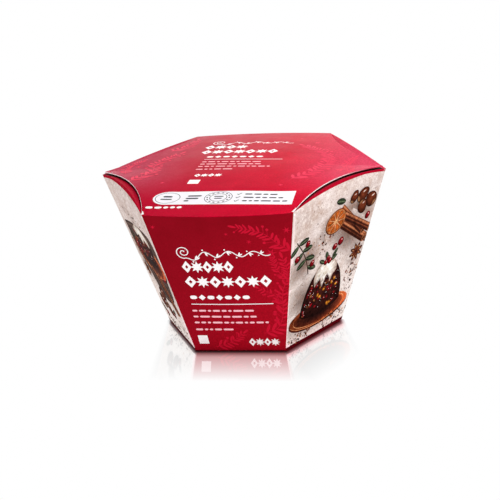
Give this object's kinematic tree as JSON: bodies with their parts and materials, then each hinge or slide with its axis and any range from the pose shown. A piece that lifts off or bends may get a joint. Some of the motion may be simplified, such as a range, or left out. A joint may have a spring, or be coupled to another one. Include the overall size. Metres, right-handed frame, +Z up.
{
  "type": "shut pudding carton",
  "caption": "Shut six-sided board carton that widens upward, with a crowned lid whose cut edges arch over its slanting sides.",
  "frame": {"origin": "middle of the base's underside, which is also the middle of the box's bottom", "axes": "+Z up from base to lid, the front panel faces -Y, +X runs corner to corner across the widest part of the lid"},
  "size_m": [0.15, 0.1366, 0.0876],
  "materials": {
    "board": "satin coated carton board, printed red and stone"
  },
  "bodies": {
    "root": {"carton": "board"}
  },
  "joints": []
}
